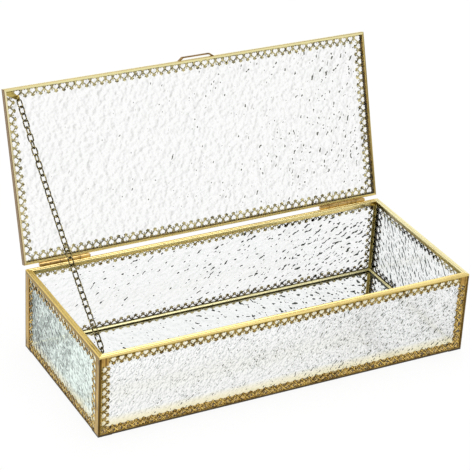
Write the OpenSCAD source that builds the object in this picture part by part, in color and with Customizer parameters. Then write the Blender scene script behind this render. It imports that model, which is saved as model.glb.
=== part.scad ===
/* [Box] */
// Outer length of the box, left to right
body_l = 250; // [220:1:290]
// Outer depth of the box, front to back
body_d = 110; // [95:1:135]
// Height from the resting face to the top of the rim
body_h = 54.5; // [45:0.5:75]

/* [Panes and brass strip] */
// Thickness of the textured panes
glass_t = 2.5; // [2:0.1:4]
// Thickness of the folded brass strip
strip_t = 0.45; // [0.35:0.05:0.7]
// Bend chamfer on the outer corners of the channels
bend_c = 0.3; // [0.1:0.05:0.3]
// Inner leg of the rim channels
rim_leg_in = 2.8; // [2:0.1:5]
// Outer leg of the rim channels on the long sides
rim_leg_long = 1.5; // [1:0.1:3]
// Outer leg of the rim channels on the short sides
rim_leg_short = 2.5; // [1:0.1:4]
// Corner angle's leg on the front and back faces
post_leg_long = 1.5; // [1:0.1:3]
// Corner angle's leg on the end faces
post_leg_short = 5; // [3:0.1:7]
// Legs of the small angles in the inner corners
inner_leg = 1.6; // [1.4:0.1:4]

/* [Base] */
// Thickness of the black backing board and corner pads
backing_t = 0.6; // [0.5:0.1:2]
// How far the backing board's edge stays inside the outer faces
backing_inset = 0.3; // [0.2:0.1:1]
// Side of each square corner pad
pad_side = 9; // [6:0.5:14]
// Gap between the backing board and the corner pads
pad_gap = 0.3; // [0.1:0.1:1]
// Thickness of the mirror floor
mirror_t = 1.5; // [1.2:0.1:3]
// Outer leg of the base channels
base_leg_out = 0.5; // [0.5:0.1:2]
// Height of the inner bead above the mirror
bead_h = 2.2; // [1.5:0.1:4]
// How far the bead reaches over the mirror
bead_w = 1.2; // [0.8:0.1:2.5]
// Height of the bead's inner edge
bead_edge = 0.9; // [0.4:0.1:1.4]

/* [Lace trim] */
// Pitch of the lace pattern
lace_pitch = 5; // [4:0.1:7]
// Height of the lace, from its straight edge to the bud tips
lace_h = 5.8; // [5:0.1:7]
// Solid band along the lace's straight edge
lace_band = 0.8; // [0.5:0.1:1]
// Depth of the small points where two cells meet
lace_point = 4.1; // [3.9:0.1:4.3]
// Depth of the notches beside those points
lace_notch = 3.4; // [3:0.1:3.6]
// Depth of the bud's neck
lace_neck = 4; // [3.8:0.1:4.3]
// Width of the bud's neck
bud_neck = 1.1; // [0.8:0.1:1.4]
// Width of the bud
bud_w = 2.6; // [1.9:0.1:2.9]
// Width of the heart-shaped opening in each cell
heart_w = 2.7; // [1.8:0.1:2.9]
// Height of that opening
heart_h = 2.5; // [1.6:0.1:2.7]
// Thickness of the lace under the lid's outer leg
lid_lace_t = 0.6; // [0.4:0.1:1]
// Width of the plates in the upper corners of the long faces
plate_w = 4.4; // [3:0.1:5.5]
// Height of those plates
plate_h = 5.3; // [4:0.1:6]

/* [Lid] */
// How far the lid's front edge stays behind the box's front face
lid_setback = 1.5; // [0.5:0.1:3]
// Gap between the rim and the closed lid
seam = 0.3; // [0.2:0.05:1]
// Legs of the lid's channels
lid_leg = 1.5; // [1:0.1:3]
// Angle between the closed lid and the lid at rest on its chain
lid_open = 107.4; // [95:0.1:115]
// Length of the pull tab along the lid
tab_l = 24.6; // [16:0.1:36]
// How far the tab's middle lies right of the lid's middle
tab_off = 4; // [-10:0.5:10]
// How far the tab stands out from the lid
tab_out = 2.2; // [1.8:0.1:4]
// Width of the tab's strip
tab_w = 2.4; // [1.5:0.1:3.2]
// Thickness of the tab's strip
tab_t = 0.8; // [0.5:0.1:1.2]
// Length of each sloping end of the tab
tab_slope = 3; // [2:0.1:5]

/* [Hinges] */
// Length of each hinge
hinge_len = 33; // [24:0.5:45]
// Distance from the box's end to the hinge
hinge_inset = 10; // [6:0.5:25]
// Distance of the hinge axis behind the back face
axis_out = 1.25; // [1.25:0.05:2]
// Outer radius of the knuckles
knuckle_r = 1.15; // [1:0.05:1.15]
// Radius of the hinge pin
pin_r = 0.5; // [0.4:0.05:0.6]
// Radial clearance of the pin in its knuckles
pin_clear = 0.05; // [0.02:0.01:0.1]
// Gap between knuckles, and round a knuckle in its notch
knuckle_gap = 0.3; // [0.2:0.05:0.5]
// Thickness of the hinge leaves
leaf_t = 0.5; // [0.4:0.05:0.8]
// Height of the box leaf below the rim
box_leaf_h = 4.5; // [3:0.1:8]
// Height of the lid leaf above the seam
lid_leaf_h = 3.6; // [2.5:0.1:3.9]
// Radius of the heads on the pin
head_r = 0.85; // [0.7:0.05:1]
// Thickness of the heads on the pin
head_t = 0.4; // [0.3:0.05:0.8]

/* [Chain] */
// Nominal pitch of the chain's links
link_pitch = 4.5; // [3.8:0.1:6]
// Wire thickness of the links
link_wire = 0.9; // [0.7:0.05:1]
// Outer width of a link
link_w = 3.8; // [3.5:0.1:4.5]
// Play between one link and the next
link_clear = 0.08; // [0.05:0.01:0.2]
// Sag of the chain at its middle, with the lid open
chain_sag = 3.5; // [1:0.5:8]
// Radius of the eyes' centreline
eye_r = 1.7; // [1.5:0.1:2.2]
// Wire thickness of the eyes
eye_wire = 0.8; // [0.6:0.1:1]
// Distance of the box's eye from the left outer face
box_eye_x = 6.2; // [5.5:0.1:9]
// Distance of the box's eye behind the front face
box_eye_y = 10; // [6:0.5:20]
// Distance of the box's eye below the rim
box_eye_z = 2.2; // [1.8:0.1:6]
// Distance of the lid's eye from the lid's left edge
lid_eye_x = 8; // [6.5:0.1:12]
// Distance of the lid's eye from the lid's front edge
lid_eye_y = 6.3; // [5.5:0.1:12]
// Side of the solder plate in the lid's corner
gusset_side = 5; // [4:0.1:8]
// How far that plate reaches past the middle of the lid's eye
gusset_past = 0.9; // [0.6:0.1:2]
// How deep the lid's eye sits in its solder plate
eye_sink = 0.3; // [0.2:0.05:0.35]

/* [Hidden] */
brass = "goldenrod";
brass_dark = "darkgoldenrod";
bronze = "#6b5a2e";
pane = [0.82, 0.9, 0.88, 0.45];
silver = "silver";
black = "#1c1c1c";

hx = body_l / 2;
hy = body_d / 2;
rail_w = glass_t + 2 * strip_t;
pane_in = strip_t + glass_t;
mirror_top = backing_t + mirror_t;
bead_top = mirror_top + bead_h;
lid_z = body_h + seam;
lid_rail_w = glass_t + 2 * strip_t + lid_lace_t;
lid_front = -hy + lid_setback;
lid_d = body_d - lid_setback;
axis_y = hy + axis_out;
axis_z = body_h + seam;
leg_end = backing_t + base_leg_out;

// Faces are numbered 0 front, 1 right, 2 back, 3 left.
function face_len(i) = i % 2 == 0 ? body_l : body_d;
function face_half(i) = i % 2 == 0 ? hy : hx;
function rim_leg(i) = i % 2 == 0 ? rim_leg_long : rim_leg_short;
function post_leg(i) = i % 2 == 0 ? post_leg_long : post_leg_short;

// Children are drawn with x along the face, y inwards from its outer plane and z up.
module on_face(i) {
  rotate([0, 0, 90 * i]) translate([0, -face_half(i), 0]) children();
}

// Turns what is drawn with the lid closed to the lid's resting place on its chain.
module opened() {
  translate([0, axis_y, axis_z]) rotate([-lid_open, 0, 0])
    translate([0, -axis_y, -axis_z]) children();
}

// A strip of the given profile, in inward distance and height, mitred at both ends.
module mitred(len, w) {
  intersection() {
    translate([-len / 2, 0, 0]) rotate([90, 0, 90]) linear_extrude(len) children();
    translate([0, 0, -body_h]) linear_extrude(3 * body_h)
      polygon([[-len / 2, 0], [len / 2, 0], [len / 2 - w, w], [-len / 2 + w, w]]);
  }
}

// ---- Base ----

module corner_square(side, sx, sy) {
  translate([sx * (hx - side / 2), sy * (hy - side / 2)]) square(side, center = true);
}

module backing_board() {
  color(black) linear_extrude(backing_t) difference() {
    square([body_l - 2 * backing_inset, body_d - 2 * backing_inset], center = true);
    for (sx = [-1, 1], sy = [-1, 1]) corner_square(pad_side + pad_gap, sx, sy);
  }
}

module corner_pads() {
  color(black) for (sx = [-1, 1], sy = [-1, 1])
    linear_extrude(backing_t) corner_square(pad_side, sx, sy);
}

module mirror_floor() {
  color(silver) translate([0, 0, backing_t]) linear_extrude(mirror_t)
    square([body_l - 2 * rail_w, body_d - 2 * rail_w], center = true);
}

// ---- Panes ----

// The front and back panes run the full length, and the end panes stand between them.
module side_pane(i) {
  pane_l = face_len(i) - 2 * (i % 2 == 0 ? strip_t : pane_in);
  pane_z = backing_t + strip_t;
  color(pane) on_face(i) translate([-pane_l / 2, strip_t, pane_z])
    cube([pane_l, glass_t, body_h - strip_t - pane_z]);
}

// ---- Brass channels ----

// A channel that stands on the backing board: the pane stands in it, and the sloping
// bead on its inner leg holds the mirror down.
module base_profile() {
  polygon([
    [0, backing_t], [rail_w, backing_t], [rail_w, mirror_top],
    [rail_w + bead_w, mirror_top], [rail_w + bead_w, mirror_top + bead_edge],
    [rail_w, bead_top], [pane_in, bead_top], [pane_in, backing_t + strip_t],
    [strip_t, backing_t + strip_t], [strip_t, leg_end], [0, leg_end]
  ]);
}

module base_rail(i) {
  color(brass) on_face(i) mitred(face_len(i), rail_w + bead_w) base_profile();
}

// A channel that is pushed down over the top edge of the pane.
module rim_profile(leg_out) {
  top = body_h;
  polygon([
    [0, top - leg_out], [0, top - bend_c], [bend_c, top], [rail_w - bend_c, top],
    [rail_w, top - bend_c], [rail_w, top - rim_leg_in], [pane_in, top - rim_leg_in],
    [pane_in, top - strip_t], [strip_t, top - strip_t], [strip_t, top - leg_out]
  ]);
}

module rim_rail(i) {
  color(brass) on_face(i) mitred(face_len(i), rail_w) rim_profile(rim_leg(i));
}

// ---- Corner angles ----

// Places a piece of the front left corner at any corner.
module at_corner(sx, sy) {
  mirror([sx > 0 ? 1 : 0, 0, 0]) mirror([0, sy > 0 ? 1 : 0, 0])
    translate([-hx, -hy, 0]) children();
}

module corner_post(sx, sy) {
  color(brass) at_corner(sx, sy) union() {
    translate([0, 0, leg_end])
      cube([strip_t, post_leg_short, body_h - rim_leg_short - leg_end]);
    translate([strip_t, 0, leg_end])
      cube([post_leg_long - strip_t, strip_t, body_h - rim_leg_long - leg_end]);
    translate([0, 0, leg_end])
      cube([strip_t, strip_t, body_h - rim_leg_short - leg_end]);
  }
}

module inner_angle(sx, sy) {
  color(brass_dark) at_corner(sx, sy) translate([pane_in, pane_in, bead_top])
    linear_extrude(body_h - rim_leg_in - bead_top)
      polygon([
        [0, 0], [inner_leg, 0], [inner_leg, strip_t],
        [strip_t, strip_t], [strip_t, inner_leg], [0, inner_leg]
      ]);
}

// ---- Lace ----

function lace_count(len) = max(1, round(len / lace_pitch));

// One cell's edge, from its left end: the point, a notch, then the neck and the bud.
function cell_edge(x0, p) = [
  [x0, lace_point],
  [x0 + (p - bud_w) / 4, lace_notch],
  [x0 + (p - bud_neck) / 2, lace_neck],
  [x0 + (p - bud_w) / 2, (lace_neck + lace_h) / 2],
  [x0 + p / 2, lace_h],
  [x0 + (p + bud_w) / 2, (lace_neck + lace_h) / 2],
  [x0 + (p + bud_neck) / 2, lace_neck],
  [x0 + p - (p - bud_w) / 4, lace_notch]
];

// The opening of one cell, a heart with its point away from the straight edge.
module heart() {
  translate([0, lace_band]) polygon([
    [0, heart_h * 0.15], [heart_w * 0.25, 0], [heart_w / 2, heart_h * 0.25],
    [heart_w * 0.4, heart_h * 0.6], [0, heart_h],
    [-heart_w * 0.4, heart_h * 0.6], [-heart_w / 2, heart_h * 0.25], [-heart_w * 0.25, 0]
  ]);
}

// Lace along x with its straight edge at y = 0, tucked under a leg below that, mitred at
// both ends by the given side of the corner's square.
module lace(len, tuck) {
  n = lace_count(len);
  p = len / n;
  intersection() {
    difference() {
      polygon(concat(
        [[-len / 2 - tuck, -tuck]],
        [for (i = [0 : n - 1]) each cell_edge(-len / 2 + i * p, p)],
        [[len / 2, lace_point], [len / 2 + tuck, -tuck]]
      ));
      for (i = [0 : n - 1]) translate([-len / 2 + (i + 0.5) * p, 0]) heart();
    }
    polygon([
      [-len / 2 - tuck, -tuck], [len / 2 + tuck, -tuck],
      [len / 2 - lace_h, lace_h], [-len / 2 + lace_h, lace_h]
    ]);
  }
}

// Half the width and the lower and upper ends of the field that the lace goes round.
function field_half(i) = face_len(i) / 2 - post_leg(i);
function field_low() = leg_end;
function field_high(i) = body_h - rim_leg(i);

module plate_square(i, sx) {
  translate([sx * field_half(i) - (sx > 0 ? plate_w : 0), field_high(i) - plate_h])
    square([plate_w, plate_h]);
}

// Edges are 0 bottom, 1 top, 2 left and 3 right, as seen from outside the face.
module lace_on(i, edge) {
  a = field_half(i);
  low = field_low();
  high = field_high(i);
  color(brass) on_face(i) translate([0, strip_t, 0]) rotate([90, 0, 0])
    linear_extrude(strip_t) difference() {
      if (edge == 0) translate([0, low]) lace(2 * a, 0);
      else if (edge == 1) translate([0, high]) mirror([0, 1]) lace(2 * a, 0);
      else mirror([edge == 3 ? 1 : 0, 0])
        translate([-a, (low + high) / 2]) rotate(-90) lace(high - low, 0);
      if (i % 2 == 0 && edge > 0) for (sx = [-1, 1]) plate_square(i, sx);
    }
}

module lace_corner_plates() {
  color(brass_dark) for (i = [0, 2], sx = [-1, 1])
    on_face(i) translate([0, strip_t, 0]) rotate([90, 0, 0])
      linear_extrude(strip_t) plate_square(i, sx);
}

// ---- Lid, drawn closed ----

// Edges are numbered as the faces are. Children are drawn with x along the edge, y
// inwards from it and z up from the lid's lower face.
module on_lid(i) {
  half = i % 2 == 1 ? hx : lid_d / 2;
  opened() translate([0, (lid_front + hy) / 2, lid_z])
    rotate([0, 0, 90 * i]) translate([0, -half, 0]) children();
}

function lid_edge(i) = i % 2 == 0 ? body_l : lid_d;

module lid_profile() {
  polygon([
    [bend_c, 0], [lid_leg, 0], [lid_leg, strip_t], [strip_t, strip_t],
    [strip_t, lid_rail_w - strip_t], [lid_leg, lid_rail_w - strip_t],
    [lid_leg, lid_rail_w], [bend_c, lid_rail_w], [0, lid_rail_w - bend_c], [0, bend_c]
  ]);
}

module lid_rail(i) {
  color(brass) on_lid(i) mitred(lid_edge(i), lid_leg) lid_profile();
}

module lid_glass() {
  color(pane) on_lid(0) translate([-hx + strip_t, strip_t, strip_t])
    cube([body_l - 2 * strip_t, lid_d - 2 * strip_t, glass_t]);
}

module lid_lace(i) {
  color(brass) on_lid(i) translate([0, lid_leg, pane_in])
    linear_extrude(lid_lace_t) lace(lid_edge(i) - 2 * lid_leg, lid_leg - strip_t);
}

// A low bail of bent strip on the lid's front edge.
module pull_tab() {
  function bail(d) = [
    [-tab_l / 2 + d * 1.6, 0], [-tab_l / 2 + tab_slope + d * 0.55, tab_out - d],
    [tab_l / 2 - tab_slope - d * 0.55, tab_out - d], [tab_l / 2 - d * 1.6, 0]
  ];
  color(brass) on_lid(0) translate([tab_off, 0, (lid_rail_w - tab_w) / 2])
    linear_extrude(tab_w) mirror([0, 1]) difference() {
      polygon(bail(0));
      polygon(bail(tab_t));
    }
}

// ---- Hinges ----

knuckles = 5;
knuckle_l = (hinge_len - (knuckles - 1) * knuckle_gap) / knuckles;
hinge_x = hx - hinge_inset - hinge_len / 2;

function knuckle_x(k) = -hinge_len / 2 + k * (knuckle_l + knuckle_gap);

// A leaf drawn on the back face with its knuckles, notched for the other leaf's.
// first is 0 for the leaf that has both end knuckles and 1 for the other.
module leaf(first, low, high) {
  difference() {
    union() {
      translate([-hinge_len / 2, -axis_out, low])
        cube([hinge_len, leaf_t, high - low]);
      for (k = [first : 2 : knuckles - 1]) translate([knuckle_x(k), 0, 0])
        rotate([0, 90, 0]) cylinder(r = knuckle_r, h = knuckle_l, $fn = 48);
    }
    for (k = [1 - first : 2 : knuckles - 1])
      translate([knuckle_x(k) - knuckle_gap, 0, 0]) rotate([0, 90, 0])
        cylinder(r = axis_out + knuckle_gap, h = knuckle_l + 2 * knuckle_gap, $fn = 48);
    translate([-hinge_len / 2 - 1, 0, 0]) rotate([0, 90, 0])
      cylinder(r = pin_r + pin_clear, h = hinge_len + 2, $fn = 48);
  }
}

module hinge_box_leaf(sx) {
  color(brass_dark) translate([sx * hinge_x, axis_y, axis_z])
    leaf(0, -seam - box_leaf_h, -seam);
}

module hinge_lid_leaf(sx) {
  color(brass_dark) opened() translate([sx * hinge_x, axis_y, axis_z])
    leaf(1, 0, lid_leaf_h);
}

// A pin with a riveted head just outside each end knuckle.
module hinge_pin(sx) {
  end = hinge_len / 2 + pin_clear;
  color(brass_dark) translate([sx * hinge_x, axis_y, axis_z]) rotate([0, 90, 0]) union() {
    translate([0, 0, -end]) cylinder(r = pin_r, h = 2 * end, $fn = 48);
    for (z = [-end - head_t, end]) translate([0, 0, z])
      cylinder(r = head_r, h = head_t, $fn = 48);
  }
}

// ---- Chain and its eyes ----

// The ring of an eye lies across X, so that the chain can swing front to back.
module eye_ring() {
  rotate([0, 90, 0]) rotate_extrude($fn = 48) translate([eye_r, 0])
    circle(d = eye_wire, $fn = 24);
}

box_eye = [-hx + box_eye_x, -hy + box_eye_y, body_h - box_eye_z];

// The box's eye stands on a stub from the left rim channel's inner leg.
module box_chain_eye() {
  stub = box_eye_x - rail_w;
  color(bronze) translate(box_eye) union() {
    eye_ring();
    translate([-stub, -eye_r, 0]) rotate([0, 90, 0])
      cylinder(d = eye_wire, h = stub, $fn = 24);
  }
}

lid_eye_drop = eye_r + eye_wire / 2 - eye_sink;
lid_eye_closed = [-hx + lid_eye_x, lid_front + lid_eye_y, lid_z - lid_eye_drop];

// The lid's eye stands on a plate that runs out of the lid's front left corner.
module lid_chain_gusset() {
  color(brass_dark) opened() union() {
    translate([-hx, lid_front, lid_z]) linear_extrude(strip_t) polygon([
      [lid_leg, lid_leg], [gusset_side, lid_leg],
      [lid_eye_x + gusset_past, lid_eye_y - gusset_past],
      [lid_eye_x + gusset_past, lid_eye_y + gusset_past],
      [lid_eye_x - gusset_past, lid_eye_y + gusset_past], [lid_leg, gusset_side * 0.8]
    ]);
    translate(lid_eye_closed) eye_ring();
  }
}

function turned(p, a) = [
  p[0],
  axis_y + (p[1] - axis_y) * cos(a) - (p[2] - axis_z) * sin(a),
  axis_z + (p[1] - axis_y) * sin(a) + (p[2] - axis_z) * cos(a)
];
lid_eye = turned(lid_eye_closed, -lid_open);

chord = lid_eye - box_eye;
chain_run = norm([chord[0], chord[1]]) / norm(chord);
chain_len = norm(chord) + 8 / 3 * pow(chain_sag * chain_run, 2) / norm(chord);
// Distance from an eye's middle to the bend of the link in it
bend_in_eye = eye_r - (eye_wire + link_wire) / 2 - link_clear;
links_len = chain_len - 2 * bend_in_eye - link_wire - link_clear;
link_n = round(links_len / link_pitch);
pitch = links_len / link_n;
link_in = pitch + link_clear;

link_twist = 180 + 90 * ((link_n + 1) % 2);

// The chain hangs in a parabola between its eyes, at t = 0 and t = 1.
function chain_at(t) = box_eye + t * chord - [0, 0, 4 * chain_sag * t * (1 - t)];
function chain_dir(t) = chord - [0, 0, 4 * chain_sag * (1 - 2 * t)];

// Moves t on by a length along the chain.
function chain_step(t, len) = t + len / norm(chain_dir(t + len / 2 / norm(chord)));
link_t = [
  for (
    i = 0, t = chain_step(0, bend_in_eye + (link_in + link_wire) / 2);
    i < link_n;
    t = chain_step(t, pitch), i = i + 1
  ) t
];

// Rounded to a whole number of hundredths, so that the bends meet the sides exactly
link_side = round(50 * (link_in + 2 * link_wire - link_w)) / 100;

// One oval link of round wire along X.
module link() {
  r = (link_w - link_wire) / 2;
  for (s = [-1, 1]) {
    translate([s * link_side, 0, 0]) rotate([0, 0, s > 0 ? -90 : 90])
      rotate_extrude(angle = 180, $fn = 48) translate([r, 0])
        circle(d = link_wire, $fn = 24);
    translate([-link_side, s * r, 0]) rotate([0, 90, 0])
      cylinder(d = link_wire, h = 2 * link_side, $fn = 24);
  }
}

module stay_chain() {
  color(bronze) for (i = [0 : link_n - 1]) {
    d = chain_dir(link_t[i]);
    translate(chain_at(link_t[i]))
      rotate([0, 0, atan2(d[1], d[0])])
        rotate([0, -atan2(d[2], norm([d[0], d[1]])), 0])
          rotate([i % 2 * 90 + link_twist * i / (link_n - 1), 0, 0]) link();
  }
}

backing_board();
corner_pads();
mirror_floor();
side_pane(0);  // glass_front
side_pane(1);  // glass_right
side_pane(2);  // glass_back
side_pane(3);  // glass_left
base_rail(0);  // base_rail_front
base_rail(1);  // base_rail_right
base_rail(2);  // base_rail_back
base_rail(3);  // base_rail_left
rim_rail(0);  // rim_rail_front
rim_rail(1);  // rim_rail_right
rim_rail(2);  // rim_rail_back
rim_rail(3);  // rim_rail_left
corner_post(-1, -1);  // corner_post_front_left
corner_post(1, -1);  // corner_post_front_right
corner_post(-1, 1);  // corner_post_back_left
corner_post(1, 1);  // corner_post_back_right
inner_angle(-1, -1);  // inner_angle_front_left
inner_angle(1, -1);  // inner_angle_front_right
inner_angle(-1, 1);  // inner_angle_back_left
inner_angle(1, 1);  // inner_angle_back_right
lace_on(0, 1);  // lace_front_top
lace_on(0, 0);  // lace_front_bottom
lace_on(0, 2);  // lace_front_left
lace_on(0, 3);  // lace_front_right
lace_on(1, 1);  // lace_right_top
lace_on(1, 0);  // lace_right_bottom
lace_on(1, 2);  // lace_right_front
lace_on(1, 3);  // lace_right_back
lace_on(2, 1);  // lace_back_top
lace_on(2, 0);  // lace_back_bottom
lace_on(2, 3);  // lace_back_left
lace_on(2, 2);  // lace_back_right
lace_on(3, 1);  // lace_left_top
lace_on(3, 0);  // lace_left_bottom
lace_on(3, 3);  // lace_left_front
lace_on(3, 2);  // lace_left_back
lace_corner_plates();
box_chain_eye();
hinge_box_leaf(-1);  // hinge_left_box_leaf
hinge_box_leaf(1);  // hinge_right_box_leaf
hinge_pin(-1);  // hinge_left_pin
hinge_pin(1);  // hinge_right_pin
lid_glass();
lid_rail(0);  // lid_rail_front
lid_rail(1);  // lid_rail_right
lid_rail(2);  // lid_rail_back
lid_rail(3);  // lid_rail_left
lid_lace(0);  // lid_lace_front
lid_lace(1);  // lid_lace_right
lid_lace(2);  // lid_lace_back
lid_lace(3);  // lid_lace_left
lid_chain_gusset();
pull_tab();
hinge_lid_leaf(-1);  // hinge_left_lid_leaf
hinge_lid_leaf(1);  // hinge_right_lid_leaf
stay_chain();
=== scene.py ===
import math

import bpy
from mathutils import Matrix, Vector


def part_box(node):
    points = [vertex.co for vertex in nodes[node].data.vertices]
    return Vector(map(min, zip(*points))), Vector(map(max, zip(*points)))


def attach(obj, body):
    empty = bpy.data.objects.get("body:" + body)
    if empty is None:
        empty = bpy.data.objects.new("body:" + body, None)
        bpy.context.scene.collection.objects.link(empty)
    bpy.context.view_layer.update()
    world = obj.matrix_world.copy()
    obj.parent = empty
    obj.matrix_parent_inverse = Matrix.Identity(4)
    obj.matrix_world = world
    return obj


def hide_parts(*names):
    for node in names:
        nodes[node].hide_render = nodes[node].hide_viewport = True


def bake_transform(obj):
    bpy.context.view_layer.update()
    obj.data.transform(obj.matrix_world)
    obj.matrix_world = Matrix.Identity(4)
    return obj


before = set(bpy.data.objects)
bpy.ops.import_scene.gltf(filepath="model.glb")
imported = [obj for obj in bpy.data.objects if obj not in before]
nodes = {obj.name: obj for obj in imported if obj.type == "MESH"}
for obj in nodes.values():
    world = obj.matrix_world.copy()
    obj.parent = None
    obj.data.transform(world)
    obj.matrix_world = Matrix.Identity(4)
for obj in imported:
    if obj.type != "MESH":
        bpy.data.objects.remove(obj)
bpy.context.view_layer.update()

mm = 0.001


# ---- Camera ----
# The casket is seen through a long lens from above its front left corner. The camera
# is rolled a little, as it is in the photograph.
camera_place = (-526.6 * mm, -928.6 * mm, 653.9 * mm)
camera_turn = (61.672, -2.790, -27.514)
camera_lens = 153.0

camera = bpy.data.objects.new("camera", bpy.data.cameras.new("camera"))
bpy.context.scene.collection.objects.link(camera)
camera.location = camera_place
camera.rotation_euler = [math.radians(angle) for angle in camera_turn]
camera.data.lens = camera_lens
camera.data.sensor_width = 36
camera.data.clip_start = 0.05
bpy.context.scene.camera = camera
bpy.context.scene.view_settings.view_transform = "Standard"


# ---- Finishes ----
# Every finish is a set of procedural nodes. A Value stands for a socket, so that the
# arithmetic of a finish reads as an expression. Limits fade over a sixth of a mm.
edge_fade = 6


class Value:
    def __init__(self, finish, node, output):
        self.finish, self.node, self.socket = finish, node, node.outputs[output]

    def also(self, output):
        return Value(self.finish, self.node, output)

    def math(self, operation, first, second):
        return self.finish.node(
            "ShaderNodeMath", {"operation": operation}, {0: first, 1: second}
        )

    def __add__(self, other):
        return self.math("ADD", self, other)

    def __radd__(self, other):
        return self.math("ADD", other, self)

    def __sub__(self, other):
        return self.math("SUBTRACT", self, other)

    def __rsub__(self, other):
        return self.math("SUBTRACT", other, self)

    def __mul__(self, other):
        return self.math("MULTIPLY", self, other)

    def __rmul__(self, other):
        return self.math("MULTIPLY", other, self)

    def __truediv__(self, other):
        return self.math("DIVIDE", self, other)

    def clamped(self):
        return self.finish.node("ShaderNodeClamp", {}, {"Value": self})


class Finish:
    def __init__(self, name, tree=None):
        if tree is None:
            self.material = bpy.data.materials.new(name)
            self.material.use_nodes = True
            tree = self.material.node_tree
        self.tree = tree

    def node(self, kind, settings, sockets, output=0):
        made = self.tree.nodes.new(kind)
        for name, value in settings.items():
            setattr(made, name, value)
        for name, value in sockets.items():
            self.feed(made.inputs[name], value)
        return Value(self, made, output)

    def feed(self, socket, value):
        if isinstance(value, Value):
            self.tree.links.new(value.socket, socket)
        else:
            socket.default_value = value

    def surface(self, sockets):
        shader = self.tree.nodes["Principled BSDF"]
        for name, value in sockets.items():
            self.feed(shader.inputs[name], value)

    def place(self, scale=(1, 1, 1), turn=(0, 0, 0), shift=(0, 0, 0)):
        """A point of the piece, turned first and then scaled and shifted."""
        here = self.node("ShaderNodeTexCoord", {}, {}, "Object")
        flat = self.node(
            "ShaderNodeMapping", {},
            {"Vector": here, "Rotation": [math.radians(a) for a in turn]},
        )
        return self.node(
            "ShaderNodeMapping", {}, {"Vector": flat, "Location": shift, "Scale": scale}
        )

    def noise(self, place, size, detail=2.0, roughness=0.5):
        return self.node(
            "ShaderNodeTexNoise", {},
            {"Vector": place, "Scale": 1 / size, "Detail": detail, "Roughness": roughness},
        )

    def where(self, axis, limit, below=False):
        """1 where a point is further from the middle than the limit, in mm, or nearer."""
        place = self.node("ShaderNodeSeparateXYZ", {}, {0: self.place()}, axis)
        past = place.math("ABSOLUTE", place, 0) / mm - limit
        return ((-edge_fade if below else edge_fade) * past).clamped()

    def mixed(self, share, first, second):
        return self.node(
            "ShaderNodeMix", {"data_type": "RGBA"}, {0: share, 6: first, 7: second}, 2
        )

    def bump(self, height, depth, strength=1.0):
        return self.node(
            "ShaderNodeBump", {}, {"Height": height, "Distance": depth, "Strength": strength}
        )


def colour(red, green, blue):
    """A colour as it is seen on a screen, 0 to 255, as the shader's linear light."""
    screen = [c / 255 for c in (red, green, blue)]
    return [c / 12.92 if c < 0.04 else ((c + 0.055) / 1.055) ** 2.4 for c in screen] + [1]


# ---- Floor and light ----
# A plain white floor under soft light: one large lamp overhead, one low at the left,
# and a white room that is dimmer behind the camera.
floor_side = 6.0
floor_drop = 0.0002
floor_shadow = 0.1
room_back = 1.0
room_front = 0.85
room_turns_dim, room_turns_bright = -0.75, 0.35
lamp_aim = Vector((0, 0, 0.05))

bpy.ops.mesh.primitive_plane_add(size=floor_side, location=(0, 0, -floor_drop))
floor = bpy.context.object
floor.name = "floor"
floor_finish = Finish("floor_white")
watched = floor_finish.node("ShaderNodeLightPath", {}, {}, "Is Camera Ray")
seen = (watched + watched.also("Is Glossy Ray") + watched.also("Is Transmission Ray")).clamped()
glow = floor_finish.node("ShaderNodeEmission", {}, {"Color": (1, 1, 1, 1), "Strength": 1.0})
floor_finish.surface({"Base Color": colour(244, 244, 243), "Roughness": 0.9})
lit = Value(floor_finish, floor_finish.tree.nodes["Principled BSDF"], 0)
mixed = floor_finish.node(
    "ShaderNodeMixShader", {}, {0: seen * (1 - floor_shadow), 1: lit, 2: glow}
)
floor_finish.feed(floor_finish.tree.nodes["Material Output"].inputs["Surface"], mixed)
floor.data.materials.append(floor_finish.material)

world = bpy.data.worlds.new("room")
world.use_nodes = True
bpy.context.scene.world = world
room = Finish("room", world.node_tree)
rays = room.node("ShaderNodeLightPath", {}, {}, "Is Camera Ray")
straight = (rays + rays.also("Is Transmission Ray")).clamped()
toward = room.node("ShaderNodeTexCoord", {}, {}, "Generated")
depth = room.node("ShaderNodeSeparateXYZ", {}, {0: toward}, "Y")
soft = room.node("ShaderNodeMapRange", {}, {
    "Value": depth, "From Min": room_turns_dim, "From Max": room_turns_bright,
    "To Min": room_front, "To Max": room_back,
})
strength = straight + (1 - straight) * soft
background = world.node_tree.nodes["Background"]
background.inputs["Color"].default_value = (1, 1, 1, 1)
room.feed(background.inputs["Strength"], strength)


def soft_lamp(name, place, side, power):
    lamp = bpy.data.objects.new(name, bpy.data.lights.new(name, "AREA"))
    bpy.context.scene.collection.objects.link(lamp)
    lamp.location = place
    lamp.rotation_euler = (lamp_aim - Vector(place)).to_track_quat("-Z", "Y").to_euler()
    lamp.data.size = side
    lamp.data.energy = power


soft_lamp("lamp_above", (0.2, 0.3, 1.3), side=0.9, power=6)
soft_lamp("lamp_left", (-1.1, -0.7, 0.7), side=0.6, power=3)


# ---- Backing board and corner pads ----
# The casket stands on a sheet of black card, cut away at the corners for four small
# square pads. Both keep their CAD shape.
def paint(finish, *names):
    for name in names:
        nodes[name].data.materials.clear()
        nodes[name].data.materials.append(finish.material)


card = Finish("black_card")
fibre = card.noise(card.place((1, 1, 0.2)), 0.4 * mm, 4.0)
card.surface({
    "Base Color": card.mixed(fibre, colour(16, 15, 15), colour(46, 44, 42)),
    "Roughness": 0.75 + fibre * 0.2,
    "Normal": card.bump(fibre, 0.05 * mm),
})
paint(card, "backing_board")

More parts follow.
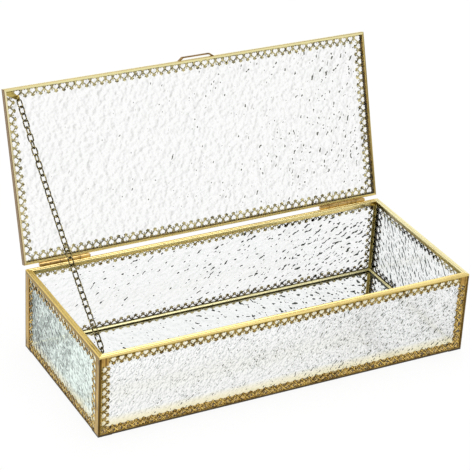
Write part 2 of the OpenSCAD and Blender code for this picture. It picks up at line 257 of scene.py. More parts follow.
pad = Finish("black_pad")
nap = pad.noise(pad.place(), 0.25 * mm, 3.0)
pad.surface({
    "Base Color": pad.mixed(nap, colour(10, 10, 10), colour(36, 35, 34)),
    "Roughness": 0.85 + nap * 0.1,
    "Normal": pad.bump(nap, 0.08 * mm),
})
paint(pad, "corner_pads")


# ---- Mirror floor ----
# A silvered pane lies on the card. Its face is very slightly uneven and has a few
# faint wipe marks.
mirror = Finish("mirror")
wipe = mirror.noise(mirror.place((1, 3, 1), (0, 0, 25)), 18 * mm, 3.0)
wave = mirror.noise(mirror.place(), 30 * mm, 1.0)
mirror.surface({
    "Base Color": mirror.mixed(wipe, colour(246, 248, 247), colour(255, 255, 255)),
    "Metallic": 1.0,
    "Roughness": 0.01 + wipe * 0.02,
    "Normal": mirror.bump(wave, 0.02 * mm),
})
paint(mirror, "mirror_floor")


# ---- Textured panes ----
# Each pane is 2.5 mm of clear glass with a rolled, pebbled inner face. The light and shade
# of its bumps' slopes are painted on as fine grey relief, and the steepest of them as short
# dark strokes of painted shade. The front and left panes, lit from outside, carry that
# painted pattern on their outer face.
body_size, body_high = (250.0, 110.0), 54.5
lid_open = 107.4
pane_grid = 0.8 * mm
relief_depth = 0.12 * mm
relief_cell = 2.6 * mm
glass_index = 1.38
slope_step, patch_size, patch_share, mean_relief_shading = 0.25, 12 * mm, 0.2, 0.86
pebble_depth, pebble_bump = 0.3 * mm, 0.3
stroke_edge, pane_smooth, faces_up = 22, 40, 0.2

# A painted reflection of the brass tints the glass beside it: above the foot, under the rim
# and at the left end. Brass seen through the lace is painted on the glass at the foot and at
# the right end. Distances without mm are in mm.
foot_glow, foot_fade = 13 * mm, 6 * mm
rim_glow, left_glow, left_end, rim_share = 47.8, -118, -124.3, 0.7
foot_trim, right_trim = 6.3, 118.3
glow_edge, trim_edge, end_edge = 2, 3, 8
painted_brass_reflection = colour(253, 242, 196)
seen_brass_grain, seen_brass_level, seen_brass_edge = 0.9 * mm, 0.46, 14
seen_brass_bright, seen_brass_brown = colour(250, 208, 110), colour(70, 42, 6)


def pane_finish(
    name, turn, lean, grain, shape, tint, shade, dark, contrast, limit, gain=0.0, aft=0.0,
    veil=0.05, glow=0.0, milky=0.0,
):
    """Bumps are ovals that lean in the pane's plane, their slopes painted as light and shade.
    Their dark strokes of painted shade grow in number to +X by gain and to +Y by aft. Glow is
    the strength of the painted brass."""
    glass = Finish(name)
    turn = (turn[0], turn[1], lean)

    def relief(step):
        return glass.noise(glass.place((1, shape, 1), turn, (step, 0, 0)), grain, 1.5, 0.5)

    slope = relief(slope_step * grain) - relief(-slope_step * grain)
    place = glass.node("ShaderNodeSeparateXYZ", {}, {0: glass.place()}, "X")
    patch = glass.noise(glass.place((1, 1, 1), turn), patch_size, 2.0)
    x, z = place / mm, place.also("Z") / mm
    rear = place.also("Y") * aft / (body_size[1] * mm)
    # The dark strokes are painted shade where the slopes are steepest.
    stroke_shade = slope - limit + place * gain / (body_size[0] * mm) + rear
    stroke_shade = stroke_shade + (patch - 0.5) * patch_share
    # Painted light and shade of the bumps' slopes, painted darker towards the rear by aft.
    relief_shading = (mean_relief_shading + slope * contrast - rear * 2).clamped()
    # Where the brass's reflection is painted on the glass.
    low = ((foot_glow - place.also("Z")) / foot_fade).clamped()
    high = ((z - rim_glow) * glow_edge).clamped()
    aside = ((left_glow - x) * glow_edge).clamped() * ((x - left_end) * end_edge).clamped()
    brass_reflection_mask = (low + (high + aside) * rim_share).clamped()
    # The brass seen through the lace is painted on the glass here, mottled light and dark.
    trim = ((foot_trim - z) * trim_edge).clamped() + ((x - right_trim) * trim_edge).clamped()
    plain = glass.mixed(relief_shading, shade, tint)
    sheet = glass.mixed(brass_reflection_mask * glow, plain, painted_brass_reflection)
    mottle = (glass.noise(glass.place(), seen_brass_grain, 2.0) - seen_brass_level) * seen_brass_edge
    seen_brass = glass.mixed(mottle.clamped(), seen_brass_bright, seen_brass_brown)
    sheet = glass.mixed(trim.clamped() * glow, sheet, seen_brass)
    glass.surface({
        "Base Color": glass.mixed((stroke_shade * stroke_edge).clamped(), sheet, dark),
        "Roughness": veil + relief_shading * 0.05,
        "IOR": glass_index,
        "Transmission Weight": 1 - milky,
        "Normal": glass.bump(relief(0), pebble_depth, pebble_bump),
    })
    return glass


def select_only(obj):
    bpy.ops.object.select_all(action="DESELECT")
    obj.select_set(True)
    bpy.context.view_layer.objects.active = obj


def settle(obj, place):
    """Puts the piece's place in its mesh."""
    select_only(obj)
    obj.matrix_world = place
    bpy.ops.object.transform_apply(location=True, rotation=True, scale=True)


def pane(name, width, height, thickness, place, inner, outer):
    """A pane drawn flat, with its pebbled inner face up at z = 0, then put in its place."""
    bpy.ops.object.select_all(action="DESELECT")
    bpy.ops.mesh.primitive_grid_add(
        x_subdivisions=round(width / pane_grid), y_subdivisions=round(height / pane_grid),
        size=1,
    )
    made = bpy.context.object
    made.name = name
    settle(made, Matrix.Diagonal((width, height, 1, 1)))
    rolled = bpy.data.textures.new(name + "_roll", "VORONOI")
    rolled.noise_scale = relief_cell
    dented = made.modifiers.new("roll", "DISPLACE")
    dented.texture = rolled
    dented.texture_coords = "LOCAL"
    dented.direction = "Z"
    dented.mid_level = 1.0
    dented.strength = relief_depth
    bpy.ops.object.modifier_apply(modifier="roll")
    bpy.ops.object.mode_set(mode="EDIT")
    bpy.ops.mesh.select_all(action="SELECT")
    bpy.ops.mesh.region_to_loop()
    bpy.ops.mesh.extrude_edges_move(TRANSFORM_OT_translate={"value": (0, 0, -thickness)})
    bpy.ops.transform.resize(value=(1, 1, 0), center_override=(0, 0, -thickness))
    bpy.ops.mesh.edge_face_add()
    bpy.ops.mesh.select_all(action="SELECT")
    bpy.ops.mesh.normals_make_consistent(inside=False)
    bpy.ops.object.mode_set(mode="OBJECT")
    bpy.ops.object.shade_smooth_by_angle(angle=math.radians(pane_smooth))
    made.data.materials.append(inner.material)
    made.data.materials.append(outer.material)
    for face in made.data.polygons:
        face.material_index = 0 if face.normal.z > faces_up else 1
    settle(made, place)
    return made


def turned(angle, axis):
    return Matrix.Rotation(math.radians(angle), 4, axis)


def moved(x, y, z):
    return Matrix.Translation((x, y, z))


long_turn, end_turn, lid_turn = (-90, 0), (-90, 90), (lid_open, 0)
clear = colour(255, 255, 255)
pane_finishes = {
    "front": pane_finish(
        "glass_front", long_turn, lean=40, grain=1.5 * mm, shape=0.66, tint=clear,
        shade=colour(176, 182, 180), dark=colour(70, 74, 62), contrast=3.0, limit=0.155,
        gain=0.12, veil=0.2, glow=0.9, milky=0.75,
    ),
    "right": pane_finish(
        "glass_right", end_turn, lean=-34, grain=2.0 * mm, shape=0.48, tint=clear,
        shade=colour(176, 194, 190), dark=colour(4, 9, 6), contrast=2.4, limit=0.075,
    ),
    "back": pane_finish(
        "glass_back", long_turn, lean=62, grain=2.3 * mm, shape=0.62, tint=clear,
        shade=colour(210, 215, 212), dark=colour(4, 6, 4), contrast=2.4, limit=0.165,
        gain=0.17,
    ),
    "left": pane_finish(
        "glass_left", end_turn, lean=-36, grain=1.8 * mm, shape=0.46,
        tint=colour(238, 252, 246), shade=colour(108, 126, 116), dark=colour(4, 12, 6),
        contrast=4.6, limit=0.08, aft=0.19, veil=0.08, glow=0.7, milky=0.66,
    ),
}
clear_face = Finish("glass_clear_face")
smear = clear_face.noise(clear_face.place(), 20 * mm, 3.0)
clear_face.surface({
    "Base Color": clear_face.mixed(smear, colour(255, 255, 255), colour(248, 251, 249)),
    "Roughness": 0.01 + smear * 0.05,
    "IOR": glass_index,
    "Transmission Weight": 1.0,
})
face_turn = {"front": 0, "right": 90, "back": 180, "left": 270}
for side, angle in face_turn.items():
    low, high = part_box("glass_" + side)
    middle = (low + high) / 2
    size = high - low
    width, thickness = (size.x, size.y) if side in ("front", "back") else (size.y, size.x)
    outward = moved(*middle) @ turned(angle, "Z")
    place = outward @ moved(0, thickness / 2, 0) @ turned(-90, "X")
    faces = (pane_finishes[side], clear_face)
    if side in ("front", "left"):
        faces = faces[::-1]
    made = pane("pane_" + side, width, size.z, thickness, place, *faces)
    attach(made, "box")
    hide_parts("glass_" + side)

hinge_axis = (0, 56.25 * mm, 54.8 * mm)
opened = moved(*hinge_axis) @ turned(-lid_open, "X") @ moved(*[-a for a in hinge_axis])
lid_low = Vector((-125 * mm, -53.5 * mm, 54.8 * mm))
lid_high = Vector((125 * mm, 55 * mm, 58.8 * mm))
lid_middle = (lid_low + lid_high) / 2
lid_depth = 108.5
strip = 0.45 * mm
glass_thick = 2.5 * mm
lid_pane_middle = moved(lid_middle.x, lid_middle.y, lid_low.z + strip)
lid_pane = pane(
    "pane_lid", body_size[0] * mm - 2 * strip, lid_depth * mm - 2 * strip, glass_thick,
    opened @ lid_pane_middle @ turned(180, "X"),
    pane_finish(
        "glass_lid", lid_turn, lean=-24, grain=2.6 * mm, shape=0.8,
        tint=colour(252, 252, 251), shade=colour(180, 181, 179), dark=colour(46, 46, 40),
        contrast=2.6, limit=0.235, gain=0.19,
    ),
    clear_face,
)
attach(lid_pane, "lid")
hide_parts("lid_glass")


# ---- Channels round the panes ----
# Each pane's edge is pushed into a channel folded from 0.45 mm brass strip. The strip was
# drawn lengthwise, so its streaks run along it; they are partly drawing lines and partly
# painted reflection. Parts of its faces are painted darker as shade.
along_x, along_y, along_z = (0, 0, 0), (0, 0, 90), (0, 90, 0)
lid_across, along_lid = (lid_open, 0, 0), (lid_open, 0, 90)
painted_shade_share = 0.85
drawn_stretch, fine_stretch = (0.012, 1, 1), (0.05, 1, 1)
fine_size, tarnish_size = 0.15 * mm, 7 * mm
streak_level, streak_edge, tarnish_edge = 0.46, 4, 5
channel_smooth, weld = 50, 0.0001


def brass_finish(
    name, light, dark, turn, rough=0.2, streak=0.6, streak_size=0.9 * mm, patch=0.6,
    painted_shade=None, painted_shade_colour=None,
):
    """Brass whose streaks, partly painted reflection, run along X once the piece has been
    turned. Where it has its darker colour of painted shade is given as where() takes it."""
    brass = Finish(name)
    drawn_and_sheen = brass.noise(brass.place(drawn_stretch, turn), streak_size, 2.0)
    fine = brass.noise(brass.place(fine_stretch, turn), fine_size, 2.0)
    tarnish = brass.noise(brass.place(), tarnish_size, 4.0, 0.6)
    patchy = ((tarnish - patch) * tarnish_edge).clamped()
    # The streaks are partly drawing lines and partly painted reflection.
    streaks_and_sheen = ((drawn_and_sheen - streak_level) * streak_edge).clamped() * streak
    surface_colour = brass.mixed((streaks_and_sheen + fine * 0.12 + patchy * 0.5).clamped(), light, dark)
    # Painted shade: the darker colour where less light falls.
    if painted_shade:
        surface_colour = brass.mixed(brass.where(*painted_shade) * painted_shade_share, surface_colour, painted_shade_colour)
    brass.surface({
        "Base Color": surface_colour,
        "Metallic": 1.0,
        "Roughness": rough + fine * 0.1 + patchy * 0.12,
        "Normal": brass.bump(fine, 0.01 * mm, 0.4),
    })
    return brass


def arc(middle, radius, first, last, steps=4):
    """Points of a bend, from one angle to another."""
    turns = [math.radians(first + (last - first) * k / steps) for k in range(steps + 1)]
    x, y = middle
    return [(x + radius * math.cos(a), y + radius * math.sin(a)) for a in turns]


def flat_shape(name, outlines, half):
    """A plate in the XY plane, with the given outlines in mm, as a merged mesh."""
    bpy.ops.object.select_all(action="DESELECT")
    drawing = bpy.data.curves.new(name, "CURVE")
    drawing.dimensions = "2D"
    drawing.fill_mode = "BOTH"
    drawing.extrude = half
    for outline in outlines:
        line = drawing.splines.new("POLY")
        line.points.add(len(outline) - 1)
        for point, (x, y) in zip(line.points, outline):
            point.co = (x, y, 0, 1)
        line.use_cyclic_u = True
    made = bpy.data.objects.new(name, drawing)
    bpy.context.scene.collection.objects.link(made)
    select_only(made)
    bpy.ops.object.convert(target="MESH")
    made = bpy.context.object
    bpy.ops.object.mode_set(mode="EDIT")
    bpy.ops.mesh.select_all(action="SELECT")
    bpy.ops.mesh.remove_doubles(threshold=weld)
    bpy.ops.mesh.normals_make_consistent(inside=False)
    bpy.ops.object.mode_set(mode="OBJECT")
    return made


def mitre(made, half_length):
    """Cuts both ends of a strip along X at 45 degrees, shorter on the inside."""
    select_only(made)
    bpy.ops.object.mode_set(mode="EDIT")
    for side in (-1, 1):
        bpy.ops.mesh.select_all(action="SELECT")
        bpy.ops.mesh.bisect(
            plane_co=(side * half_length, 0, 0), plane_no=(side, 1, 0), use_fill=True,
            clear_outer=True,
        )
    bpy.ops.mesh.select_all(action="SELECT")
    bpy.ops.mesh.normals_make_consistent(inside=False)
    bpy.ops.object.mode_set(mode="OBJECT")


def channel(name, profile, length, place, finish, body):
    """A mitred strip; its profile gives the distance inwards and the height, in mm."""
    made = flat_shape(name.replace("rail", "channel"), [profile], length / 2)
    settle(made, turned(90, "Z") @ turned(90, "X"))
    mitre(made, length / 2)
    bpy.ops.object.shade_smooth_by_angle(angle=math.radians(channel_smooth))
    settle(made, place @ Matrix.Scale(mm, 4))
    made.data.materials.clear()
    made.data.materials.append(finish.material)
    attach(made, body)
    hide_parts(name)
    return made


def face_place(angle, half):
    """x along a face of the box, y inwards from it and z up."""
    return turned(angle, "Z") @ moved(0, -half * mm, 0)


rail_wide, fold, bend = 3.4, 0.45, 0.45
rim_inner_leg, rim_outer_leg = 2.8, {"front": 1.5, "right": 2.5, "back": 1.5, "left": 2.5}
groove, half_groove, lid_half_groove = 0.12, 0.2, 0.25
gold, amber = colour(252, 230, 156), colour(178, 146, 72)
olive, umber = colour(150, 132, 66), colour(92, 68, 26)
legs, end_legs = ("Z", 53.4, True), ("Z", 54.0, True)
# Each side has its own colours, lighter or darker by how the light falls on it: painted light
# and shade. Their legs take a darker colour of painted shade.
rim_finishes = {
    "front": brass_finish(
        "rim_front", gold, amber, along_x, rough=0.16, streak=0.8,
        painted_shade=legs, painted_shade_colour=colour(190, 166, 92),
    ),
    "right": brass_finish(
        "rim_right", colour(255, 248, 196), colour(222, 202, 142), along_y, rough=0.18,
        streak=0.9, painted_shade=end_legs, painted_shade_colour=colour(128, 108, 48),
    ),
    "back": brass_finish(
        "rim_back", colour(255, 240, 176), amber, along_x, rough=0.16, streak=0.6,
        painted_shade=legs, painted_shade_colour=colour(236, 210, 134),
    ),
    "left": brass_finish(
        "rim_left", colour(238, 208, 124), olive, along_y, rough=0.18, streak=0.9,
        painted_shade=end_legs, painted_shade_colour=colour(126, 100, 34),
    ),
}


def rim_outline(outer_leg):
    top, middle = body_high, rail_wide / 2
    return (
        [(0, top - outer_leg)]
        + arc((bend, top - bend), bend, 180, 90)
        + [(middle - half_groove, top), (middle, top - groove), (middle + half_groove, top)]
        + arc((rail_wide - bend, top - bend), bend, 90, 0)
        + [(rail_wide, top - rim_inner_leg), (rail_wide - fold, top - rim_inner_leg)]
        + [(rail_wide - fold, top - fold), (fold, top - fold), (fold, top - outer_leg)]
    )


face_long = {"front": 0, "right": 1, "back": 0, "left": 1}
for side, angle in face_turn.items():
    long_way = face_long[side]
    channel(
        "rim_rail_" + side, rim_outline(rim_outer_leg[side]), body_size[long_way],
        face_place(angle, body_size[1 - long_way] / 2), rim_finishes[side], "box",
    )

lid_thick, lid_leg = 4.0, 1.5
lid_outline = (
    arc((bend, bend), bend, 180, 270)
    + [(lid_leg, 0), (lid_leg, fold), (fold, fold), (fold, lid_thick - fold)]
    + [(lid_leg, lid_thick - fold), (lid_leg, lid_thick)]
    + arc((bend, lid_thick - bend), bend, 90, 180)
    + [(0, lid_thick / 2 + lid_half_groove), (groove, lid_thick / 2)]
    + [(0, lid_thick / 2 - lid_half_groove)]
)
lid_top_edge, lid_left_edge = ("Z", 159.15), ("X", 124.5)
# Each lid rail has its own colours by how the light falls on it, painted light and shade, and
# some of their edges take a darker colour of painted shade.
lid_finishes = {
    "front": brass_finish(
        "lid_rail_front", colour(255, 246, 186), amber, lid_across, rough=0.18, streak=0.2,
        patch=0.7, painted_shade=lid_top_edge, painted_shade_colour=colour(132, 104, 44),
    ),
    "right": brass_finish(
        "lid_rail_right", colour(206, 184, 116), umber, along_lid, streak=0.9,
        streak_size=0.7 * mm,
    ),
    "back": brass_finish("lid_rail_back", gold, olive, lid_across, rough=0.18, streak=0.8),
    "left": brass_finish(
        "lid_rail_left", colour(255, 244, 196), colour(170, 124, 56), along_lid, streak=0.4,
        streak_size=0.8 * mm, patch=0.72, painted_shade=lid_left_edge, painted_shade_colour=colour(104, 66, 16),
    ),
}
lid_centre = moved(0, (lid_low.y + lid_high.y) / 2, lid_low.z)


def lid_place(angle, half):
    """x along an edge of the lid, y inwards from it and z up from its lower face."""
    return opened @ lid_centre @ turned(angle, "Z") @ moved(0, -half * mm, 0)


lid_size = (body_size[0], lid_depth)
for side, angle in face_turn.items():
    long_way = face_long[side]
    channel(
        "lid_rail_" + side, lid_outline, lid_size[long_way],
        lid_place(angle, lid_size[1 - long_way] / 2), lid_finishes[side], "lid",
    )


# ---- Base channels ----
# The base channel stands on the card and holds the pane. A rounded bead on its inner leg
# lies over the mirror's edge. It is bright, with painted shade where it meets the glass and
# the mirror and near the card.
mirror_top, bead_high, bead_wide, base_low, base_leg = 2.1, 2.2, 1.2, 0.6, 1.1
bead_bright_top, bead_bright_foot, base_foot = 3.65, 3.0, 1.2
pane_past_x, pane_past_y = ("X", 121.9), ("Y", 51.9)
bead_finishes = {}
for name, turn in (("x", along_x), ("y", along_y)):
    bead = Finish("base_" + name)
    height = bead.node("ShaderNodeSeparateXYZ", {}, {0: bead.place()}, "Z") / mm
    drawn_and_sheen = bead.noise(bead.place((0.02, 1, 1), turn), 0.6 * mm, 3.0)
    mottle = bead.noise(bead.place((0.4, 0.4, 1), turn), 3 * mm, 3.0)
    outside = (bead.where(*pane_past_x) + bead.where(*pane_past_y)).clamped()
    # Painted shade: dark bands at the bead's top, by the glass, and at its foot, by the mirror.
    upper_shade = ((height - bead_bright_top + (mottle - 0.5) * 0.8) * 3).clamped()
    lower_shade = ((bead_bright_foot - height + (mottle - 0.5) * 0.5) * 4).clamped()
    # Painted shade near the card.
    foot_shade = ((base_foot - height) * 8).clamped()
    inside = bead.mixed(
        (upper_shade + lower_shade + drawn_and_sheen * 0.2).clamped(), colour(255, 246, 192), colour(60, 54, 28)
    )
    sooted = bead.mixed(mottle, colour(232, 192, 104), colour(110, 76, 24))
    bead.surface({
        "Base Color": bead.mixed(
            foot_shade * 0.85, bead.mixed(outside, inside, sooted), colour(30, 24, 12)
        ),
        "Metallic": 1 - outside * 0.8,
        "Roughness": 0.22 + drawn_and_sheen * 0.15,
        "Normal": bead.bump(drawn_and_sheen, 0.02 * mm, 0.4),
    })
    bead_finishes[name] = bead

bead_top, tip = mirror_top + bead_high, rail_wide + bead_wide
bead_round, bead_round_end, bead_chamfer = 0.6, 75, 0.1
bead_back = ((0.25, 1.35), (0.05, 1.6))
base_outline = (
    [(0, base_low), (rail_wide, base_low), (rail_wide, mirror_top), (tip, mirror_top)]
    + arc((tip - bead_round, mirror_top + bead_round), bead_round, 0, bead_round_end)
    + [(rail_wide + past, mirror_top + up) for past, up in bead_back]
    + [(rail_wide, bead_top - bead_chamfer), (rail_wide - bead_chamfer, bead_top)]
    + [(rail_wide - fold, bead_top), (rail_wide - fold, base_low + fold)]
    + [(fold, base_low + fold)]
    + [(fold, base_leg), (0, base_leg)]
)
for side, angle in face_turn.items():
    long_way = face_long[side]
    channel(
        "base_rail_" + side, base_outline, body_size[long_way],
        face_place(angle, body_size[1 - long_way] / 2), bead_finishes["xy"[long_way]], "box",
    )


# ---- Corner angles ----
# Upright brass angles close the four corners outside, and smaller ones, browner, lie in
# the corners inside. They keep their CAD shape.
# The posts' front legs take a darker colour of painted shade.
post_long_legs = ("Y", 54.1)
post_finish = brass_finish(
    "corner_post", colour(216, 180, 94), colour(84, 56, 14), along_z, streak=1.0,
    streak_size=1.0 * mm, patch=0.54, painted_shade=post_long_legs, painted_shade_colour=colour(66, 44, 8),
)
dim_post = brass_finish(
    "corner_angle", colour(206, 192, 134), colour(56, 46, 20), along_z, rough=0.26, streak=1.0
)
paint(post_finish, *[n for n in nodes if n.startswith("corner_post")])
paint(dim_post, *[n for n in nodes if n.startswith("inner_angle")])


# ---- Lace trim ----
# The trim is stamped from thin brass: a plain band, a row of heart-shaped openings between
# crossed ribs, and a bud below each heart. It is soldered flat on the outer faces.
lace_pitch = 5.0
lace_deep = 0.45
lace_plain = 0.22
# The lace is painted dark along its foot, as shade.
lace_foot_shade, foot_shade_share = ("Z", 1.6, True), 0.75
lace_edge = [
    (-2.5, 0), (2.5, 0), (2.5, 4.2), (2.2, 3.9), (2.25, 2.8), (0.8, 4.1), (1.3, 4.5),
    (1.2, 5.1), (0.6, 5.3), (0, 5.8), (-0.6, 5.3), (-1.2, 5.1), (-1.3, 4.5), (-0.8, 4.1),
    (-2.25, 2.8), (-2.2, 3.9), (-2.5, 4.2),
]
heart = [
    (0, 1.15), (-0.5, 0.75), (-1.3, 0.75), (-1.85, 1.45), (-1.5, 2.45), (0, 3.75), (1.5, 2.45),
    (1.85, 1.45), (1.3, 0.75), (0.5, 0.75),
]


def lace_finish(name, light, dark, rough):
    lace = Finish(name)
    grime = lace.noise(lace.place(), 1.1 * mm, 4.0, 0.6)
    wear = lace.noise(lace.place(), 9 * mm, 3.0)
    surface_colour = lace.mixed(((grime * 0.7 + wear * 0.3 - 0.4) * 5).clamped(), light, dark)
    lace.surface({
        # The dark foot is painted shade.
        "Base Color": lace.mixed(
            lace.where(*lace_foot_shade) * foot_shade_share, surface_colour, colour(34, 24, 10)
        ),
        "Metallic": 1.0,
        "Roughness": rough + grime * 0.15,
        "Normal": lace.bump(grime, 0.05 * mm, 0.5),
    })
    return lace


rib_gold = lace_finish("lace_ribs", colour(255, 224, 132), colour(132, 92, 26), 0.2)
# A darker copy of the ribs, painted shade, for the strips that lie in shade.
rib_shaded = lace_finish("lace_ribs_brown", colour(210, 182, 104), colour(70, 50, 12), 0.24)
plate_brown = lace_finish("lace_plate", colour(150, 122, 58), colour(52, 36, 10), 0.32)
plate_pale = lace_finish("lace_inner_face", colour(250, 234, 168), colour(70, 56, 18), 0.3)
# A lighter copy of the inner face, painted light, for the back strips seen from inside.
plate_lit_back = lace_finish(
    "lace_back_inner_face", colour(255, 240, 176), colour(124, 96, 40), 0.3
)
rib_high, rib_top, rib_wide = 0.16, -0.03, 0.6
rib_foot, rib_head = (3.7, 0.8), (0.35, 4.05)
band_middle, band_wide = 0.4, 0.7
buds = (((0, 4.85), 0.8), ((2.5, 3.85), 0.35))
bud_high, bud_taper, bud_middle = 0.3, 0.4, -0.18
triangle_side = 1.732


def add_rib(start, end, wide):
    """A low three-sided rib on the plate from one point to another, in mm."""
    along = Vector((end[0] - start[0], end[1] - start[1], 0))
    bpy.ops.object.select_all(action="DESELECT")
    bpy.ops.mesh.primitive_cylinder_add(vertices=3, radius=1, depth=along.length)
    rib = bpy.context.object
    place = moved((start[0] + end[0]) / 2, (start[1] + end[1]) / 2, rib_top) @ (
        Matrix.Rotation(math.atan2(along.y, along.x), 4, "Z")
        @ Matrix.Diagonal((1, wide / triangle_side, rib_high, 1))
        @ moved(0, 0, -1) @ turned(90, "Y") @ turned(180, "Z")
    )
    settle(rib, place)
    return rib


def lace_motif():
    """One repeat: the plate, two crossed ribs, one along the band, and a large and a small
    bud. The strip's outer face is at z = 0."""
    plate = flat_shape("lace_plate", [lace_edge, heart], lace_plain / 2)
    settle(plate, moved(0, 0, lace_plain / 2 - lace_deep))
    plate.data.materials.clear()
    plate.data.materials.append(plate_brown.material)
    plate.data.materials.append(plate_pale.material)
    for face in plate.data.polygons:
        face.material_index = 1 if face.normal.z < -0.5 else 0
    (foot_x, foot_y), (head_x, head_y) = rib_foot, rib_head
    ribs = [
        add_rib((side * foot_x, foot_y), (side * head_x, head_y), rib_wide)
        for side in (-1, 1)
    ]
    half = lace_pitch / 2
    ribs.append(add_rib((-half, band_middle), (half, band_middle), band_wide))
    for place, size in buds:
        bpy.ops.object.select_all(action="DESELECT")
        bpy.ops.mesh.primitive_cone_add(
            vertices=6, radius1=size, radius2=size * bud_taper, depth=bud_high
        )
        bud = bpy.context.object
        settle(bud, moved(*place, bud_middle))
        ribs.append(bud)
    for rib in ribs:
        rib.data.materials.append(rib_gold.material)
    bpy.ops.object.select_all(action="DESELECT")
    for piece in ribs + [plate]:
        piece.select_set(True)
    bpy.context.view_layer.objects.active = plate
    bpy.ops.object.join()
    return plate


motif = lace_motif()


def lace_strip(name, length, place, body, ribs, inner):
    """Lace along X with its straight edge at y = 0 and its outer face at z = 0."""
    made = bpy.data.objects.new(name.replace("lace", "trim"), motif.data.copy())
    bpy.context.scene.collection.objects.link(made)
    cells = max(1, round(length / lace_pitch))
    pitch = length / cells
    settle(made, Matrix.Diagonal((pitch / lace_pitch, 1, 1, 1)))
    row = made.modifiers.new("row", "ARRAY")
    row.count = cells
    row.use_relative_offset = False
    row.use_constant_offset = True
    row.constant_offset_displace = (pitch, 0, 0)
    bpy.ops.object.modifier_apply(modifier="row")
    settle(made, moved((pitch - length) / 2, 0, 0))
    mitre(made, length / 2)
    settle(made, place @ Matrix.Scale(mm, 4))
    for number, slot in enumerate(made.data.materials):
        if slot == rib_gold.material:
            made.data.materials[number] = ribs.material
        if slot == plate_pale.material:
            made.data.materials[number] = inner.material
    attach(made, body)
    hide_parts(name)


post_leg = {"front": 1.5, "right": 5.0, "back": 1.5, "left": 5.0}
across_face = {
    "front": ("left", "right"), "right": ("front", "back"),
    "back": ("right", "left"), "left": ("back", "front"),
}
for side, angle in face_turn.items():
    long_way = face_long[side]
    half = body_size[long_way] / 2 - post_leg[side]
    low, high = base_leg, body_high - rim_outer_leg[side]
    face = face_place(angle, body_size[1 - long_way] / 2)
    upright = turned(90, "X")
    middle = (low + high) / 2 * mm
    first, last = across_face[side]
    inner = plate_lit_back if side == "back" else plate_pale
    for edge, length, place in (
        ("bottom", 2 * half, moved(0, 0, low * mm) @ upright),
        ("top", 2 * half, moved(0, 0, high * mm) @ upright @ turned(180, "Z")),
        (first, high - low, moved(-half * mm, 0, middle) @ upright @ turned(-90, "Z")),
        (last, high - low, moved(half * mm, 0, middle) @ upright @ turned(90, "Z")),
    ):
        # The strips in shade take the darker ribs: painted shade.
        in_shade = side == "back" or (side == "front" and edge in ("top", "left"))
        ribs = rib_shaded if in_shade else rib_gold
        lace_strip("lace_" + side + "_" + edge, length, face @ place, "box", ribs, inner)

for side, angle in face_turn.items():
    long_way = face_long[side]
    edge = lid_place(angle, lid_size[1 - long_way] / 2)
    lace_strip(
        "lid_lace_" + side, lid_size[long_way] - 2 * lid_leg,
        edge @ moved(0, lid_leg * mm, (lid_thick - fold) * mm), "lid", rib_gold, plate_pale,
    )
bpy.data.objects.remove(motif)


# ---- Solder plates, hinges and pull tab ----
# Small brass plates, the two strip hinges and the bent tab on the lid's front edge are
# soldered on. They keep their CAD shape and are browner than the rails; the tab is darker
# still, as painted shade.
hinge_brass = brass_finish(
    "hinge_brass", colour(230, 198, 132), colour(90, 62, 26), along_x, rough=0.26,
    streak=1.0, streak_size=0.7 * mm, patch=0.5,
)
plate_brass = brass_finish(
    "solder_plates", colour(200, 162, 88), colour(88, 58, 20), along_z, rough=0.28,
    streak=1.0, streak_size=1.2 * mm, patch=0.5,
)
gusset_brass = brass_finish(
    "gusset_brass", colour(206, 186, 108), colour(78, 62, 22), lid_across, rough=0.26,
    streak=1.0, streak_size=1.0 * mm, patch=0.5,
)
# The tab's dark colour is painted shade.
shaded_tab_brass = brass_finish(
    "shaded_tab_brass", colour(186, 148, 78), colour(52, 32, 8), lid_across, rough=0.22,
    streak=1.0, patch=0.5,
)
paint(hinge_brass, *[n for n in nodes if "hinge" in n])
paint(plate_brass, "lace_corner_plates")
paint(gusset_brass, "lid_chain_gusset")
paint(shaded_tab_brass, "pull_tab")


# ---- Stay chain ----
# Thirty-six oval links of 0.9 mm brass wire, browned with age, run from the box's eye to
# the lid's. Each is rolled only a little against the next, so the chain lies nearly flat.
# With the lid shut the chain hangs in a loop inside; how far each link would turn is worked
# out, but not applied.
chain_brass = Finish("chain_brass")
rub = chain_brass.noise(chain_brass.place(), 0.7 * mm, 3.0)
chain_brass.surface({
    "Base Color": chain_brass.mixed(
        ((rub - 0.5) * 6).clamped(), colour(34, 28, 12), colour(216, 200, 142)
    ),
    "Metallic": 1.0,
    "Roughness": 0.28 + rub * 0.15,
    "Normal": chain_brass.bump(rub, 0.04 * mm, 0.5),
})
paint(chain_brass, "box_chain_eye")

wire, link_wide, link_gap, link_pitch, sag = 0.9, 3.8, 0.08, 4.5, 3.5
eye_radius, eye_wire = 1.7, 0.8
box_eye = Vector((-118.8, -45.0, 52.3))
lid_eye = (opened @ Vector((-117.0 * mm, -47.2 * mm, 53.0 * mm))) / mm
chord = lid_eye - box_eye
level = chord.xy.length / chord.length
chain_length = chord.length + 8 / 3 * (sag * level) ** 2 / chord.length
in_eye = eye_radius - (eye_wire + wire) / 2 - link_gap
run = chain_length - 2 * in_eye - wire - link_gap
links = round(run / link_pitch)
pitch = run / links
link_half = (pitch + link_gap + 2 * wire - link_wide) / 2


def chain_at(t):
    """The point of the parabola at t, 0 at the box's eye and 1 at the lid's."""
    return box_eye + t * chord - Vector((0, 0, 4 * sag * t * (1 - t)))


def chain_way(t):
    """The parabola's direction at t."""
    return chord - Vector((0, 0, 4 * sag * (1 - 2 * t)))


def chain_step(t, length):
    """The t that lies the length further along the chain."""
    return t + length / chain_way(t + length / 2 / chord.length).length


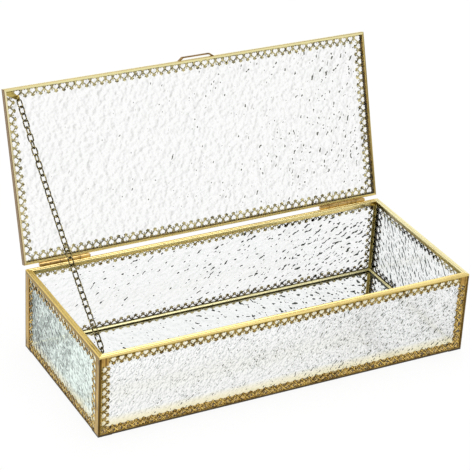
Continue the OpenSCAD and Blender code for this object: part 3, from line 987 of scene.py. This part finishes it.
stations = [chain_step(0, in_eye + (pitch + link_gap + wire) / 2)]
while len(stations) < links:
    stations.append(chain_step(stations[-1], pitch))
axis_y, axis_z = hinge_axis[1] / mm, hinge_axis[2] / mm
spots = [chain_at(t) for t in stations]
reach = [math.hypot(p.y - axis_y, p.z - axis_z) for p in spots]
nearest = reach.index(min(reach))

# How far below the shut lid the links hang, in degrees about the hinge: at the two eyes,
# halfway, between the box's eye and the link nearest the hinge, and round that link.
box_droop, lid_droop, halfway_droop, box_end_droop = 1.4, 1.0, 3.5, 2.3
nearest_droop, nearest_reach = 19, 20
least_share, most_share = 0.002, 0.998


def share_of_lid(i):
    """How far a link turns with the closing lid, so that the chain hangs below it."""
    along = i / (links - 1)
    open_angle = math.degrees(math.atan2(spots[i].z - axis_z, spots[i].y - axis_y)) % 360
    droop = box_droop + (lid_droop - box_droop) * along
    droop = droop + halfway_droop * math.sin(math.pi * along)
    if i < nearest:
        droop += box_end_droop * math.sin(math.pi * i / nearest)
    droop += nearest_droop * max(0, 1 - abs(i - nearest) * pitch / nearest_reach)
    return min(max((180 + droop - open_angle) / lid_open, least_share), most_share)


shares = [share_of_lid(i) for i in range(links)]
link_roll, link_tilt = -22, 26
twist_most, twist_link, twist_spread = 38, 29, 4
longest_span = 1000
bpy.ops.object.select_all(action="DESELECT")
bpy.ops.mesh.primitive_torus_add(
    major_segments=16, minor_segments=6, major_radius=(link_wide - wire) / 2,
    minor_radius=wire / 2,
)
pattern = bpy.context.object
for vertex in pattern.data.vertices:
    vertex.co.x += math.copysign(link_half, vertex.co.x) if abs(vertex.co.x) > 0.01 else 0
for i, t in enumerate(stations):
    way = chain_way(t)
    twist = twist_most * math.exp(-((i - twist_link) / twist_spread) ** 2)
    roll = link_roll + (link_tilt if i % 2 else -link_tilt) + twist
    link = bpy.data.objects.new("chain_link_%02d" % (i + 1), pattern.data.copy())
    bpy.context.scene.collection.objects.link(link)
    settle(link, Matrix.Scale(mm, 4) @ moved(*spots[i]) @ (
        Matrix.Rotation(math.atan2(way.y, way.x), 4, "Z")
        @ Matrix.Rotation(-math.atan2(way.z, way.xy.length), 4, "Y") @ turned(roll, "X")
    ))
    bpy.ops.object.shade_smooth()
    link.data.materials.append(chain_brass.material)

    # A smooth step would give this link its share at turn_at, and its slope there would be the
    # rate at which the shares change along the chain; start and end are worked out but not
    # used.
    before, after = max(i - 1, 0), min(i + 1, links - 1)
    rate = (shares[after] - shares[before]) / ((after - before) * pitch)
    turn_at = 0.5 - math.sin(math.asin(1 - 2 * shares[i]) / 3)
    span = min(6 * turn_at * (1 - turn_at) / max(abs(rate), 1e-6), longest_span)
    ahead = way.normalized() * (span if rate > 0 else -span)
    start, end = spots[i] - ahead * turn_at, spots[i] + ahead * (1 - turn_at)
    tuple(start * mm)
    tuple(end * mm)
    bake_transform(link)
    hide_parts("stay_chain")
bpy.data.objects.remove(pattern)
